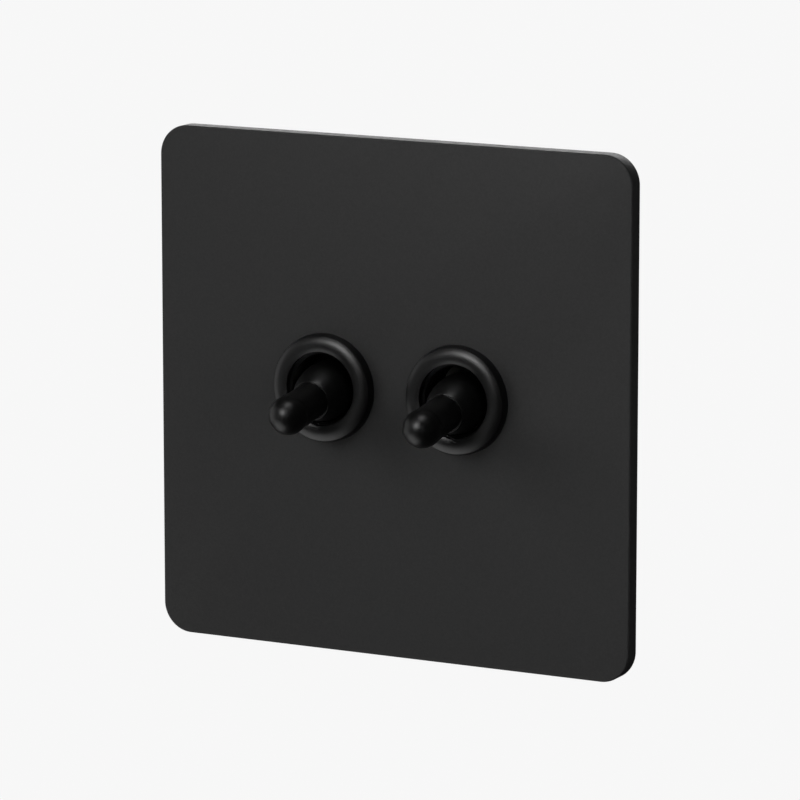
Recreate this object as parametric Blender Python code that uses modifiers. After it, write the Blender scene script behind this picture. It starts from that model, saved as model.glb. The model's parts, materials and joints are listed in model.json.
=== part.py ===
"""Two-gang toggle wall switch with a square screwless front plate.

Metres, +Z up. X runs to the right across the plate and +Y runs into the wall. The origin is at the
plate's centre on the wall plane, so the plate stands proud towards -Y and the works lie behind it.
Each gang is a tumbler switch: the lever turns on a cross pin in the bushing, a sprung plunger in its
tail presses on a see-saw rocker, and the rocker closes on the upper or the lower contact.
"""
import math

import bmesh
import bpy

# Fit between neighbouring pieces.
GAP = 0.0003

# Front plate.
PLATE_SIZE = 0.086
PLATE_THICKNESS = 0.003
PLATE_CORNER = 0.005
PLATE_EDGE = 0.00025
PLATE_FRONT = -PLATE_THICKNESS
POCKET_WIDTH = 0.0766
POCKET_HEIGHT = 0.0626

# Mounting frame behind the plate, held in the plate's pocket.
FRAME_WIDTH = 0.076
FRAME_HEIGHT = 0.062
FRAME_THICKNESS = 0.0015
FRAME_BACK = -0.00005
FRAME_FRONT = FRAME_BACK - FRAME_THICKNESS
FRAME_CORNER = 0.003

# Wall box screws, at the standard 60.3 mm centres.
FIXING_CENTRES = 0.0603
FIXING_RADIUS = 0.00175
FIXING_HEAD_RADIUS = 0.0031
FIXING_LENGTH = 0.024
FIXING_RIM = 0.0001
FIXING_SLOT_WIDTH = 0.0009
FIXING_SLOT_DEPTH = 0.0006

# The two gangs.
GANG_SPACING = 0.0244
GANG_HEIGHT = 0.0012
GANG_SIDES = {"left": -1, "right": 1}

# Bushing: a neck through the plate and a flange behind the frame.
NECK_RADIUS = 0.0069
NECK_BORE = 0.0057
NECK_FRONT = PLATE_FRONT - 0.0009
NECK_HOLE = NECK_RADIUS + GAP
FLANGE_WIDTH = 0.0222
FLANGE_HEIGHT = 0.034
FLANGE_CORNER = 0.0015
FLANGE_FRONT = FRAME_BACK + GAP
FLANGE_BACK = FLANGE_FRONT + 0.0028

# Collar: a domed ring screwed onto the neck.
COLLAR_BASE_RADIUS = 0.00907
COLLAR_EDGE_RADIUS = 0.00872
COLLAR_EDGE_HEIGHT = 0.0015
COLLAR_HOLE_RADIUS = 0.00615
COLLAR_HOLE_HEIGHT = 0.0018
COLLAR_DOME_RISE = 0.0004
COLLAR_SIDE_RISE = 0.00008
COLLAR_LIP_BACK = 0.0012

# Lever, measured along its own axis from the pivot.
PIVOT_DEPTH = 0.0015
LEVER_TILT = math.radians(8.4)
LEVER_TIP_CENTRE = 0.0174
LEVER_TIP_RADIUS = 0.0032
LEVER_STEM_TOP_RADIUS = 0.00308
LEVER_STEM_ROOT_RADIUS = 0.003
LEVER_MOUTH = 0.0096
LEVER_MOUTH_RADIUS = 0.0033
LEVER_MOUTH_STEP = 0.00015
LEVER_DOME_CENTRE = 0.0038
LEVER_DOME_RADIUS = 0.00475
LEVER_DOME_BACK = -0.0025
LEVER_TAIL_RADIUS = 0.0022
LEVER_TAIL_END = -0.008
LEVER_TAIL_CHAMFER = 0.0003
LEVER_BORE_RADIUS = 0.00145
LEVER_BORE_END = -0.0015
PIN_RADIUS = 0.0007
PIN_HALF_LENGTH = 0.0076
PIN_HOLE_IN_LEVER = 0.00105
PIN_HOLE_IN_BUSHING = 0.00095

# Plunger and its spring, on the lever's axis.
PLUNGER_RADIUS = 0.00115
PLUNGER_FRONT = -0.006
PLUNGER_TIP = -0.0105
PLUNGER_NOSE_LENGTH = 0.0009
PLUNGER_NOSE_RISE = 0.00045
SPRING_FRONT = -0.0018
SPRING_BACK = -0.0057
SPRING_WIRE_RADIUS = 0.0002
SPRING_COIL_RADIUS = 0.00095
SPRING_TURNS = 5
SPRING_POINTS_PER_TURN = 8

# Rocker, in its own frame with the axis at the origin.
ROCKER_DEPTH = 0.01315
ROCKER_RATIO = -0.9
ROCKER_TILT = ROCKER_RATIO * LEVER_TILT
ROCKER_HALF_WIDTH = 0.002
ROCKER_HALF_LENGTH = 0.0084
ROCKER_FRONT = -0.001
ROCKER_BACK = -0.0002
ROCKER_BOSS_RADIUS = 0.000995
CONTACT_OFFSET = 0.007
CONTACT_RADIUS = 0.0009
CONTACT_FACE = 0.0003

# Terminals: brass blocks with a wire bore and a clamping screw.
BLOCK_FRONT = 0.010
BLOCK_BACK = 0.018
WIRE_DEPTH = 0.013
WIRE_RADIUS = 0.0016
STRIP_THICKNESS = 0.0008
CLAMP_RADIUS = 0.00135
CLAMP_HEAD_RADIUS = 0.0019
CLAMP_HEAD_THICKNESS = 0.0011
CLAMP_LENGTH = 0.003
CLAMP_HOLE = CLAMP_RADIUS + GAP
SMALL_SLOT_WIDTH = 0.0005
SMALL_SLOT_DEPTH = 0.0005
SCREW_CHAMFER = 0.00015
COM_BLOCK_INNER = 0.0042
COM_BLOCK_OUTER = 0.0093
COM_BLOCK_HALF_HEIGHT = 0.003
COM_SCREW_OFFSET = 0.0065
COM_STRIP_FRONT = 0.0149
CRADLE_FRONT = 0.0135
CRADLE_HALF_WIDTH = 0.0017
CRADLE_HALF_HEIGHT = 0.0022
LINE_BLOCK_INNER = 0.0093
LINE_BLOCK_OUTER = 0.0149
LINE_BLOCK_HALF_WIDTH = 0.003
LINE_SCREW_OFFSET = 0.0121
LINE_STRIP_FRONT = 0.0153
LINE_STRIP_INNER = 0.0057
FIXED_CONTACT_FACE = 0.0147
FIXED_CONTACT_RADIUS = 0.001

# Earth terminal, riveted to the back of the frame.
EARTH_HEIGHT = -0.024
EARTH_HALF_SIZE = 0.0035
EARTH_BACK = 0.0073
EARTH_WIRE_DEPTH = 0.0034
RIVET_RADIUS = 0.0015

# Housing and rear cover.
CASE_WALL = 0.0014
CASE_CORNER = 0.0015
HOUSING_FRONT = FLANGE_BACK + GAP
HOUSING_BACK = 0.0195
SHELF_FRONT = 0.0084
SHELF_BACK = 0.0097
WINDOW_HALF_WIDTH = 0.0032
WINDOW_HALF_HEIGHT = 0.0043
WIRE_ENTRY_RADIUS = 0.0019
POST_RADIUS = 0.0019
POST_X = 0.0083
POST_Z = 0.0142
COVER_FRONT = HOUSING_BACK + GAP
COVER_BACK = COVER_FRONT + 0.002
DRIVER_HOLE_RADIUS = 0.0023
DRIVER_TUBE_RADIUS = 0.0029
CASE_SCREW_RADIUS = 0.001
CASE_SCREW_HEAD_RADIUS = 0.0018
CASE_SCREW_HEAD_THICKNESS = 0.001
CASE_SCREW_HOLE = CASE_SCREW_RADIUS + GAP
CASE_SCREW_TIP = 0.0014
CASE_PILOT_END = 0.001

# Cutters run past the faces that they open by this much.
OVERRUN = 0.0005

# Facets on round pieces, and steps along curved profiles.
DOME_STEPS = 6
CORNER_STEPS = 5
FINE = 28
MEDIUM = 16
COARSE = 12

# Finishes: colour, roughness and metallic.
FINISHES = {
    "matt_black": ((0.030, 0.030, 0.031, 1.0), 0.62, 0.0),
    "satin_black": ((0.012, 0.012, 0.013, 1.0), 0.34, 0.0),
    "zinc_steel": ((0.56, 0.57, 0.58, 1.0), 0.38, 1.0),
    "spring_steel": ((0.42, 0.42, 0.43, 1.0), 0.30, 1.0),
    "brass": ((0.72, 0.52, 0.24, 1.0), 0.32, 1.0),
    "copper_alloy": ((0.72, 0.42, 0.26, 1.0), 0.34, 1.0),
    "white_nylon": ((0.78, 0.77, 0.73, 1.0), 0.45, 0.0),
    "case_resin": ((0.62, 0.61, 0.58, 1.0), 0.50, 0.0),
}

FACING_FRONT = (math.radians(90), 0, 0)


def clear_scene():
    for old in list(bpy.data.objects):
        bpy.data.objects.remove(old, do_unlink=True)


def new_collection(name):
    collection = bpy.data.collections.new(name)
    bpy.context.scene.collection.children.link(collection)
    return collection


def new_material(name, finish):
    colour, roughness, metallic = FINISHES[finish]
    material = bpy.data.materials.new(name)
    material.use_nodes = True
    shader = material.node_tree.nodes["Principled BSDF"]
    shader.inputs["Base Color"].default_value = colour
    shader.inputs["Roughness"].default_value = roughness
    shader.inputs["Metallic"].default_value = metallic
    material.diffuse_color = colour
    return material


def empty(name, location, rotation=(0, 0, 0), parent=None):
    """An unseen axis or centre that pieces are placed from."""
    holder = bpy.data.objects.new(name, None)
    PARTS.objects.link(holder)
    holder.location = location
    holder.rotation_euler = rotation
    holder.parent = parent
    return holder


def place(obj, parent, finish):
    """Put a shape in the parts, or in the cutters where it has no finish."""
    obj.parent = parent
    if finish:
        PARTS.objects.link(obj)
        obj.data.materials.append(new_material(obj.name, finish))
    else:
        CUTTERS.objects.link(obj)
        obj.hide_render = True
        obj.display_type = "WIRE"
    return obj


def mesh_object(name, shape, parent, finish):
    mesh = bpy.data.meshes.new(name)
    shape.to_mesh(mesh)
    shape.free()
    return place(bpy.data.objects.new(name, mesh), parent, finish)


def box(name, low, high, parent=None, finish=None):
    shape = bmesh.new()
    bmesh.ops.create_cube(shape, size=1.0)
    for vertex in shape.verts:
        for axis in range(3):
            middle = (low[axis] + high[axis]) / 2
            vertex.co[axis] = middle + vertex.co[axis] * (high[axis] - low[axis])
    return mesh_object(name, shape, parent, finish)


def cylinder(name, radius, start, end, facets=COARSE, parent=None, finish=None):
    """A round bar between two points on a line along X, Y or Z."""
    middle = [(a + b) / 2 for a, b in zip(start, end)]
    length = math.dist(start, end)
    shape = bmesh.new()
    bmesh.ops.create_cone(
        shape, cap_ends=True, segments=facets, radius1=radius, radius2=radius, depth=length
    )
    obj = mesh_object(name, shape, parent, finish)
    obj.location = middle
    if start[0] != end[0]:
        obj.rotation_euler = (0, math.radians(90), 0)
    elif start[1] != end[1]:
        obj.rotation_euler = FACING_FRONT
    smooth(obj)
    return obj


def slab(name, width, height, front, back, corner, parent=None, finish=None, edge=0.0):
    """A flat plate facing front, with round corners and an optional bevel round its front face."""
    shape = bmesh.new()
    bmesh.ops.create_cube(shape, size=1.0)
    for vertex in shape.verts:
        vertex.co.x *= width
        vertex.co.y = front if vertex.co.y < 0 else back
        vertex.co.z *= height
    upright = [e for e in shape.edges if e.verts[0].co.y != e.verts[1].co.y]
    bmesh.ops.bevel(
        shape, geom=upright, offset=corner, segments=CORNER_STEPS, profile=0.5, affect="EDGES",
        clamp_overlap=True,
    )
    if edge:
        rim = [e for e in shape.edges if all(v.co.y == front for v in e.verts)]
        bmesh.ops.bevel(shape, geom=rim, offset=edge, segments=1, profile=0.5, affect="EDGES")
    return mesh_object(name, shape, parent, finish)


def arc(start, end, rise, steps):
    """Points on the circle through start and end that rises by rise to the left of the line."""
    chord = math.dist(start, end)
    radius = (chord * chord / 4 + rise * rise) / (2 * rise)
    along = ((end[0] - start[0]) / chord, (end[1] - start[1]) / chord)
    left = (-along[1], along[0])
    centre = [(a + b) / 2 + n * (rise - radius) for a, b, n in zip(start, end, left)]
    half = math.asin(chord / (2 * radius))
    points = []
    for step in range(steps + 1):
        angle = half * (2 * step / steps - 1)
        points.append((
            centre[0] + radius * (math.sin(angle) * along[0] + math.cos(angle) * left[0]),
            centre[1] + radius * (math.sin(angle) * along[1] + math.cos(angle) * left[1]),
        ))
    return points


def turned(name, profile, facets, parent, finish, closed=False):
    """A turned piece. The profile holds (radius, distance) points, from the front to the back."""
    mesh = bpy.data.meshes.new(name)
    edges = [(i, i + 1) for i in range(len(profile) - 1)]
    if closed:
        edges.append((len(profile) - 1, 0))
    mesh.from_pydata([(radius, 0, distance) for radius, distance in profile], edges, [])
    obj = place(bpy.data.objects.new(name, mesh), parent, finish)
    screw = obj.modifiers.new("Turn", "SCREW")
    screw.axis = "Z"
    screw.steps = facets
    screw.render_steps = facets
    screw.use_merge_vertices = True
    screw.merge_threshold = 0.00001
    screw.use_smooth_shade = True
    return obj


def smooth(obj):
    obj.data.shade_smooth()
    obj.data.set_sharp_from_angle(angle=math.radians(30))


def combine(target, operation, *tools):
    for tool in tools:
        modifier = target.modifiers.new(tool.name, "BOOLEAN")
        modifier.solver = "EXACT"
        modifier.operation = operation
        modifier.object = tool


def cut(target, *tools):
    combine(target, "DIFFERENCE", *tools)


def join(target, *tools):
    combine(target, "UNION", *tools)


def slotted_screw(name, profile, slot_width, slot_depth, parent, location, faces_back):
    """A turned screw with its head at local zero and its tip towards local -Z."""
    screw = turned(name, profile, COARSE, parent, "zinc_steel")
    screw.location = location
    screw.rotation_euler = (math.radians(-90 if faces_back else 90), 0, 0)
    reach = max(radius for radius, _ in profile) + OVERRUN
    slot = box(
        name + "_slot", (-reach, -slot_width / 2, -slot_depth), (reach, slot_width / 2, OVERRUN), screw
    )
    cut(screw, slot)
    return screw


def back_slotted_screw(name, profile, parent, location):
    """A small screw that is driven from behind."""
    return slotted_screw(name, profile, SMALL_SLOT_WIDTH, SMALL_SLOT_DEPTH, parent, location, True)


def cheese_head(head_radius, head_thickness, radius, length):
    """The profile of a screw with a flat round head."""
    return [
        (0, 0),
        (head_radius - SCREW_CHAMFER, 0),
        (head_radius, -SCREW_CHAMFER),
        (head_radius, -head_thickness),
        (radius, -head_thickness),
        (radius, -head_thickness - length + SCREW_CHAMFER),
        (radius - SCREW_CHAMFER, -head_thickness - length),
        (0, -head_thickness - length),
    ]


def gang_holes(name, radius, front, back):
    """Round cutters, one on each gang's axis."""
    holes = []
    for gang, side in GANG_SIDES.items():
        x = side * GANG_SPACING / 2
        ends = ((x, front, GANG_HEIGHT), (x, back, GANG_HEIGHT))
        holes.append(cylinder(gang + name, radius, *ends, facets=FINE))
    return holes


def front_plate():
    plate = slab(
        "front_plate", PLATE_SIZE, PLATE_SIZE, PLATE_FRONT, 0, PLATE_CORNER,
        finish="matt_black", edge=PLATE_EDGE,
    )
    pocket = slab(
        "plate_pocket", POCKET_WIDTH, POCKET_HEIGHT, FRAME_FRONT - GAP, OVERRUN, FRAME_CORNER
    )
    cut(plate, pocket, *gang_holes("_plate_hole", NECK_HOLE, PLATE_FRONT - OVERRUN, OVERRUN))


def mounting_frame():
    frame = slab(
        "mounting_frame", FRAME_WIDTH, FRAME_HEIGHT, FRAME_FRONT, FRAME_BACK, FRAME_CORNER,
        finish="zinc_steel",
    )
    cut(frame, *gang_holes("_frame_hole", NECK_HOLE, FRAME_FRONT - OVERRUN, FRAME_BACK + OVERRUN))
    for gang, side in GANG_SIDES.items():
        cut(frame, countersink(gang + "_countersink", side * FIXING_CENTRES / 2))
    rivet_hole = cylinder(
        "rivet_hole", RIVET_RADIUS + GAP,
        (0, FRAME_FRONT - OVERRUN, EARTH_HEIGHT), (0, FRAME_BACK + OVERRUN, EARTH_HEIGHT),
    )
    cut(frame, rivet_hole)


def countersink(name, x):
    """The shape of a countersunk clearance hole through the frame."""
    sink = FIXING_HEAD_RADIUS - FIXING_RADIUS
    profile = [
        (0, OVERRUN),
        (FIXING_HEAD_RADIUS + GAP, OVERRUN),
        (FIXING_HEAD_RADIUS + GAP, 0),
        (FIXING_RADIUS + GAP, -sink),
        (FIXING_RADIUS + GAP, -FRAME_THICKNESS - OVERRUN),
        (0, -FRAME_THICKNESS - OVERRUN),
    ]
    cutter = turned(name, profile, MEDIUM, None, None)
    cutter.location = (x, FRAME_FRONT, 0)
    cutter.rotation_euler = FACING_FRONT
    return cutter


def fixing_screws():
    sink = FIXING_HEAD_RADIUS - FIXING_RADIUS
    profile = [
        (0, 0),
        (FIXING_HEAD_RADIUS, 0),
        (FIXING_HEAD_RADIUS, -FIXING_RIM),
        (FIXING_RADIUS, -sink - FIXING_RIM),
        (FIXING_RADIUS, -FIXING_LENGTH + FIXING_RADIUS / 2),
        (FIXING_RADIUS / 2, -FIXING_LENGTH),
        (0, -FIXING_LENGTH),
    ]
    for gang, side in GANG_SIDES.items():
        place_at = (side * FIXING_CENTRES / 2, FRAME_FRONT, 0)
        slotted_screw(
            "fixing_screw_" + gang, profile, FIXING_SLOT_WIDTH, FIXING_SLOT_DEPTH, None, place_at, False
        )


def earth_terminal():
    front = FRAME_BACK + GAP
    low = (-EARTH_HALF_SIZE, front, EARTH_HEIGHT - EARTH_HALF_SIZE)
    high = (EARTH_HALF_SIZE, EARTH_BACK, EARTH_HEIGHT + EARTH_HALF_SIZE)
    block = box("earth_terminal", low, high, finish="brass")
    rivet = cylinder(
        "rivet", RIVET_RADIUS,
        (0, FRAME_FRONT, EARTH_HEIGHT), (0, front + OVERRUN, EARTH_HEIGHT),
    )
    join(block, rivet)
    wire_bore = cylinder(
        "earth_wire_bore", WIRE_RADIUS,
        (0, EARTH_WIRE_DEPTH, low[2] - OVERRUN), (0, EARTH_WIRE_DEPTH, high[2] + OVERRUN),
    )
    screw_hole = cylinder(
        "earth_screw_hole", CLAMP_HOLE,
        (0, EARTH_WIRE_DEPTH, EARTH_HEIGHT), (0, EARTH_BACK + OVERRUN, EARTH_HEIGHT),
    )
    cut(block, wire_bore, screw_hole)
    head_back = EARTH_BACK + GAP + CLAMP_HEAD_THICKNESS
    length = EARTH_BACK + GAP - EARTH_WIRE_DEPTH - WIRE_RADIUS / 2
    profile = cheese_head(CLAMP_HEAD_RADIUS, CLAMP_HEAD_THICKNESS, CLAMP_RADIUS, length)
    back_slotted_screw("earth_screw", profile, None, (0, head_back, EARTH_HEIGHT))


def collar(gang, axis):
    """A ring with a domed front, an undercut that clears the neck, and a lip over the neck's rim."""
    bore = NECK_RADIUS + GAP
    dome = arc(
        (COLLAR_HOLE_RADIUS, COLLAR_HOLE_HEIGHT), (COLLAR_EDGE_RADIUS, COLLAR_EDGE_HEIGHT),
        COLLAR_DOME_RISE, DOME_STEPS,
    )
    side = arc(dome[-1], (COLLAR_BASE_RADIUS, GAP), COLLAR_SIDE_RISE, 2)
    inside = [
        (bore, GAP),
        (bore, COLLAR_LIP_BACK),
        (COLLAR_HOLE_RADIUS, COLLAR_LIP_BACK),
    ]
    ring = turned(gang + "_collar", dome + side[1:] + inside, FINE, axis, "satin_black", closed=True)
    ring.location = (0, PLATE_FRONT, 0)
    ring.rotation_euler = FACING_FRONT


def bushing(gang, axis):
    """A flanged neck, cross drilled for the lever's pin."""
    body = slab(
        gang + "_bushing", FLANGE_WIDTH, FLANGE_HEIGHT, FLANGE_FRONT, FLANGE_BACK, FLANGE_CORNER,
        parent=axis, finish="satin_black",
    )
    neck = cylinder(
        gang + "_neck", NECK_RADIUS, (0, NECK_FRONT, 0), (0, FLANGE_FRONT + OVERRUN, 0), FINE, axis
    )
    bore = cylinder(
        gang + "_neck_bore", NECK_BORE,
        (0, NECK_FRONT - OVERRUN, 0), (0, FLANGE_BACK + OVERRUN, 0), FINE, axis,
    )
    reach = FLANGE_WIDTH / 2 + OVERRUN
    pin_hole = cylinder(
        gang + "_bushing_pin_hole", PIN_HOLE_IN_BUSHING,
        (-reach, PIVOT_DEPTH, 0), (reach, PIVOT_DEPTH, 0), COARSE, axis,
    )
    join(body, neck)
    cut(body, bore, pin_hole)
    for end, x, z in case_screw_places(gang):
        pilot = cylinder(
            gang + "_pilot_" + end, CASE_SCREW_HOLE,
            (x, CASE_PILOT_END, z), (x, FLANGE_BACK + OVERRUN, z), COARSE, axis,
        )
        cut(body, pilot)


def lever_profile():
    """The lever from its ball tip, down its stem and domed root, to the end of its tail."""
    below = math.sqrt(LEVER_TIP_RADIUS ** 2 - LEVER_STEM_TOP_RADIUS ** 2)
    equator = math.atan2(-below, LEVER_STEM_TOP_RADIUS)
    points = []
    for step in range(DOME_STEPS + 1):
        angle = math.pi / 2 + (equator - math.pi / 2) * step / DOME_STEPS
        points.append((
            LEVER_TIP_RADIUS * math.cos(angle),
            LEVER_TIP_CENTRE + LEVER_TIP_RADIUS * math.sin(angle),
        ))
    points[0] = (0, points[0][1])
    points.append((LEVER_STEM_ROOT_RADIUS, LEVER_MOUTH + LEVER_MOUTH_STEP))
    points.append((LEVER_MOUTH_RADIUS, LEVER_MOUTH))
    # The dome is an ellipse that passes through the mouth's edge.
    shrink = LEVER_MOUTH_RADIUS / LEVER_DOME_RADIUS
    half_length = (LEVER_MOUTH - LEVER_DOME_CENTRE) / math.sqrt(1 - shrink ** 2)
    for step in range(1, DOME_STEPS + 1):
        distance = LEVER_MOUTH + (LEVER_DOME_BACK - LEVER_MOUTH) * step / DOME_STEPS
        offset = (distance - LEVER_DOME_CENTRE) / half_length
        points.append((LEVER_DOME_RADIUS * math.sqrt(1 - offset ** 2), distance))
    points += [
        (LEVER_TAIL_RADIUS, LEVER_DOME_BACK),
        (LEVER_TAIL_RADIUS, LEVER_TAIL_END + LEVER_TAIL_CHAMFER),
        (LEVER_TAIL_RADIUS - LEVER_TAIL_CHAMFER, LEVER_TAIL_END),
        (0, LEVER_TAIL_END),
    ]
    return points


def lever(gang, pivot):
    body = turned(gang + "_lever", lever_profile(), FINE, pivot, "satin_black")
    bore = cylinder(
        gang + "_lever_bore", LEVER_BORE_RADIUS,
        (0, 0, LEVER_TAIL_END - OVERRUN), (0, 0, LEVER_BORE_END), MEDIUM, pivot,
    )
    reach = LEVER_DOME_RADIUS + OVERRUN
    pin_hole = cylinder(
        gang + "_lever_pin_hole", PIN_HOLE_IN_LEVER, (-reach, 0, 0), (reach, 0, 0), COARSE, pivot
    )
    cut(body, bore, pin_hole)


def plunger(gang, pivot):
    """A round-nosed brass plug that slides in the lever's tail."""
    shoulder = (PLUNGER_RADIUS, PLUNGER_TIP + PLUNGER_NOSE_LENGTH)
    nose = arc(shoulder, (0, PLUNGER_TIP), PLUNGER_NOSE_RISE, CORNER_STEPS)
    profile = [(0, PLUNGER_FRONT), (PLUNGER_RADIUS, PLUNGER_FRONT)] + nose
    profile[-1] = (0, PLUNGER_TIP)
    turned(gang + "_plunger", profile, MEDIUM, pivot, "brass")


def spring(gang, pivot):
    """A helix of round wire between the plunger and the end of the lever's bore."""
    curve = bpy.data.curves.new(gang + "_spring", "CURVE")
    curve.dimensions = "3D"
    curve.bevel_depth = SPRING_WIRE_RADIUS
    curve.bevel_resolution = 2
    curve.use_fill_caps = True
    spline = curve.splines.new("POLY")
    count = SPRING_TURNS * SPRING_POINTS_PER_TURN + 1
    spline.points.add(count - 1)
    first = SPRING_FRONT - SPRING_WIRE_RADIUS
    last = SPRING_BACK + SPRING_WIRE_RADIUS
    for index, point in enumerate(spline.points):
        angle = 2 * math.pi * index / SPRING_POINTS_PER_TURN
        distance = first + (last - first) * index / (count - 1)
        x = SPRING_COIL_RADIUS * math.cos(angle)
        y = SPRING_COIL_RADIUS * math.sin(angle)
        point.co = (x, y, distance, 1)
    place(bpy.data.objects.new(gang + "_spring", curve), pivot, "spring_steel")


def pivot_pin(gang, axis):
    ends = ((-PIN_HALF_LENGTH, PIVOT_DEPTH, 0), (PIN_HALF_LENGTH, PIVOT_DEPTH, 0))
    cylinder(gang + "_pivot_pin", PIN_RADIUS, *ends, MEDIUM, axis, "zinc_steel")


def rocker(gang, rocker_axis):
    """A flat see-saw bar with a round boss across its middle and a contact at each end."""
    bar = box(
        gang + "_rocker",
        (-ROCKER_HALF_WIDTH, ROCKER_FRONT, -ROCKER_HALF_LENGTH),
        (ROCKER_HALF_WIDTH, ROCKER_BACK, ROCKER_HALF_LENGTH),
        rocker_axis, "copper_alloy",
    )
    inset = ROCKER_HALF_WIDTH - CRADLE_HALF_WIDTH
    half = CRADLE_HALF_WIDTH - inset
    boss = cylinder(
        gang + "_rocker_boss", ROCKER_BOSS_RADIUS, (-half, 0, 0), (half, 0, 0), MEDIUM, rocker_axis
    )
    join(bar, boss)
    for end, sign in (("upper", 1), ("lower", -1)):
        z = sign * CONTACT_OFFSET
        contact = cylinder(
            gang + "_moving_contact_" + end, CONTACT_RADIUS,
            (0, (ROCKER_FRONT + ROCKER_BACK) / 2, z), (0, CONTACT_FACE, z), COARSE, rocker_axis,
        )
        join(bar, contact)


def com_terminal(gang, side, axis):
    """The common terminal: a cradle behind the rocker, and a strip out to its block."""
    inner = side * COM_BLOCK_INNER
    outer = side * COM_BLOCK_OUTER
    block = box(
        gang + "_com_terminal",
        (min(inner, outer), BLOCK_FRONT, -COM_BLOCK_HALF_HEIGHT),
        (max(inner, outer), BLOCK_BACK, COM_BLOCK_HALF_HEIGHT),
        axis, "brass",
    )
    strip_ends = (-side * CRADLE_HALF_WIDTH, inner + side * OVERRUN)
    strip = box(
        gang + "_com_strip",
        (min(strip_ends), COM_STRIP_FRONT, -CRADLE_HALF_HEIGHT),
        (max(strip_ends), COM_STRIP_FRONT + STRIP_THICKNESS, CRADLE_HALF_HEIGHT),
        axis,
    )
    cradle_inset = 0.0001
    cradle = box(
        gang + "_cradle",
        (-CRADLE_HALF_WIDTH + cradle_inset, CRADLE_FRONT, -CRADLE_HALF_HEIGHT + cradle_inset),
        (CRADLE_HALF_WIDTH - cradle_inset, COM_STRIP_FRONT + OVERRUN, CRADLE_HALF_HEIGHT - cradle_inset),
        axis,
    )
    groove_reach = CRADLE_HALF_WIDTH + OVERRUN
    groove = cylinder(
        gang + "_cradle_groove", ROCKER_BOSS_RADIUS + GAP,
        (-groove_reach, ROCKER_DEPTH, 0), (groove_reach, ROCKER_DEPTH, 0), MEDIUM, axis,
    )
    wire_bore = cylinder(
        gang + "_com_wire_bore", WIRE_RADIUS,
        (inner - side * OVERRUN, WIRE_DEPTH, 0), (outer + side * OVERRUN, WIRE_DEPTH, 0), COARSE, axis,
    )
    x = side * COM_SCREW_OFFSET
    join(block, strip, cradle)
    cut(block, groove, wire_bore, screw_hole(gang + "_com", x, 0, axis))
    clamp_screw(gang + "_com_screw", x, 0, axis)


def line_terminal(gang, label, sign, axis):
    """A switched terminal: a fixed contact on a strip, and its block above or below the rocker."""
    inner = sign * LINE_BLOCK_INNER
    outer = sign * LINE_BLOCK_OUTER
    block = box(
        gang + "_" + label + "_terminal",
        (-LINE_BLOCK_HALF_WIDTH, BLOCK_FRONT, min(inner, outer)),
        (LINE_BLOCK_HALF_WIDTH, BLOCK_BACK, max(inner, outer)),
        axis, "brass",
    )
    strip_ends = (sign * LINE_STRIP_INNER, inner + sign * OVERRUN)
    strip = box(
        gang + "_" + label + "_strip",
        (-ROCKER_HALF_WIDTH, LINE_STRIP_FRONT, min(strip_ends)),
        (ROCKER_HALF_WIDTH, LINE_STRIP_FRONT + STRIP_THICKNESS, max(strip_ends)),
        axis,
    )
    z = sign * CONTACT_OFFSET
    contact = cylinder(
        gang + "_" + label + "_contact", FIXED_CONTACT_RADIUS,
        (0, FIXED_CONTACT_FACE, z), (0, LINE_STRIP_FRONT + STRIP_THICKNESS / 2, z), COARSE, axis,
    )
    wire_bore = cylinder(
        gang + "_" + label + "_wire_bore", WIRE_RADIUS,
        (0, WIRE_DEPTH, inner - sign * OVERRUN), (0, WIRE_DEPTH, outer + sign * OVERRUN), COARSE, axis,
    )
    z = sign * LINE_SCREW_OFFSET
    join(block, strip, contact)
    cut(block, wire_bore, screw_hole(gang + "_" + label, 0, z, axis))
    clamp_screw(gang + "_" + label + "_screw", 0, z, axis)


def screw_hole(name, x, z, axis):
    """A cutter from a block's back into its wire bore."""
    ends = ((x, WIRE_DEPTH, z), (x, BLOCK_BACK + OVERRUN, z))
    return cylinder(name + "_clamp_hole", CLAMP_HOLE, *ends, COARSE, axis)


def clamp_screw(name, x, z, axis):
    profile = cheese_head(CLAMP_HEAD_RADIUS, CLAMP_HEAD_THICKNESS, CLAMP_RADIUS, CLAMP_LENGTH)
    head_back = BLOCK_BACK + GAP + CLAMP_HEAD_THICKNESS
    back_slotted_screw(name, profile, axis, (x, head_back, z))


def case_screw_places(gang):
    """The two opposite corners of a case that its screws pass through."""
    side = GANG_SIDES[gang]
    return (("upper", side * POST_X, POST_Z), ("lower", -side * POST_X, -POST_Z))


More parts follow.
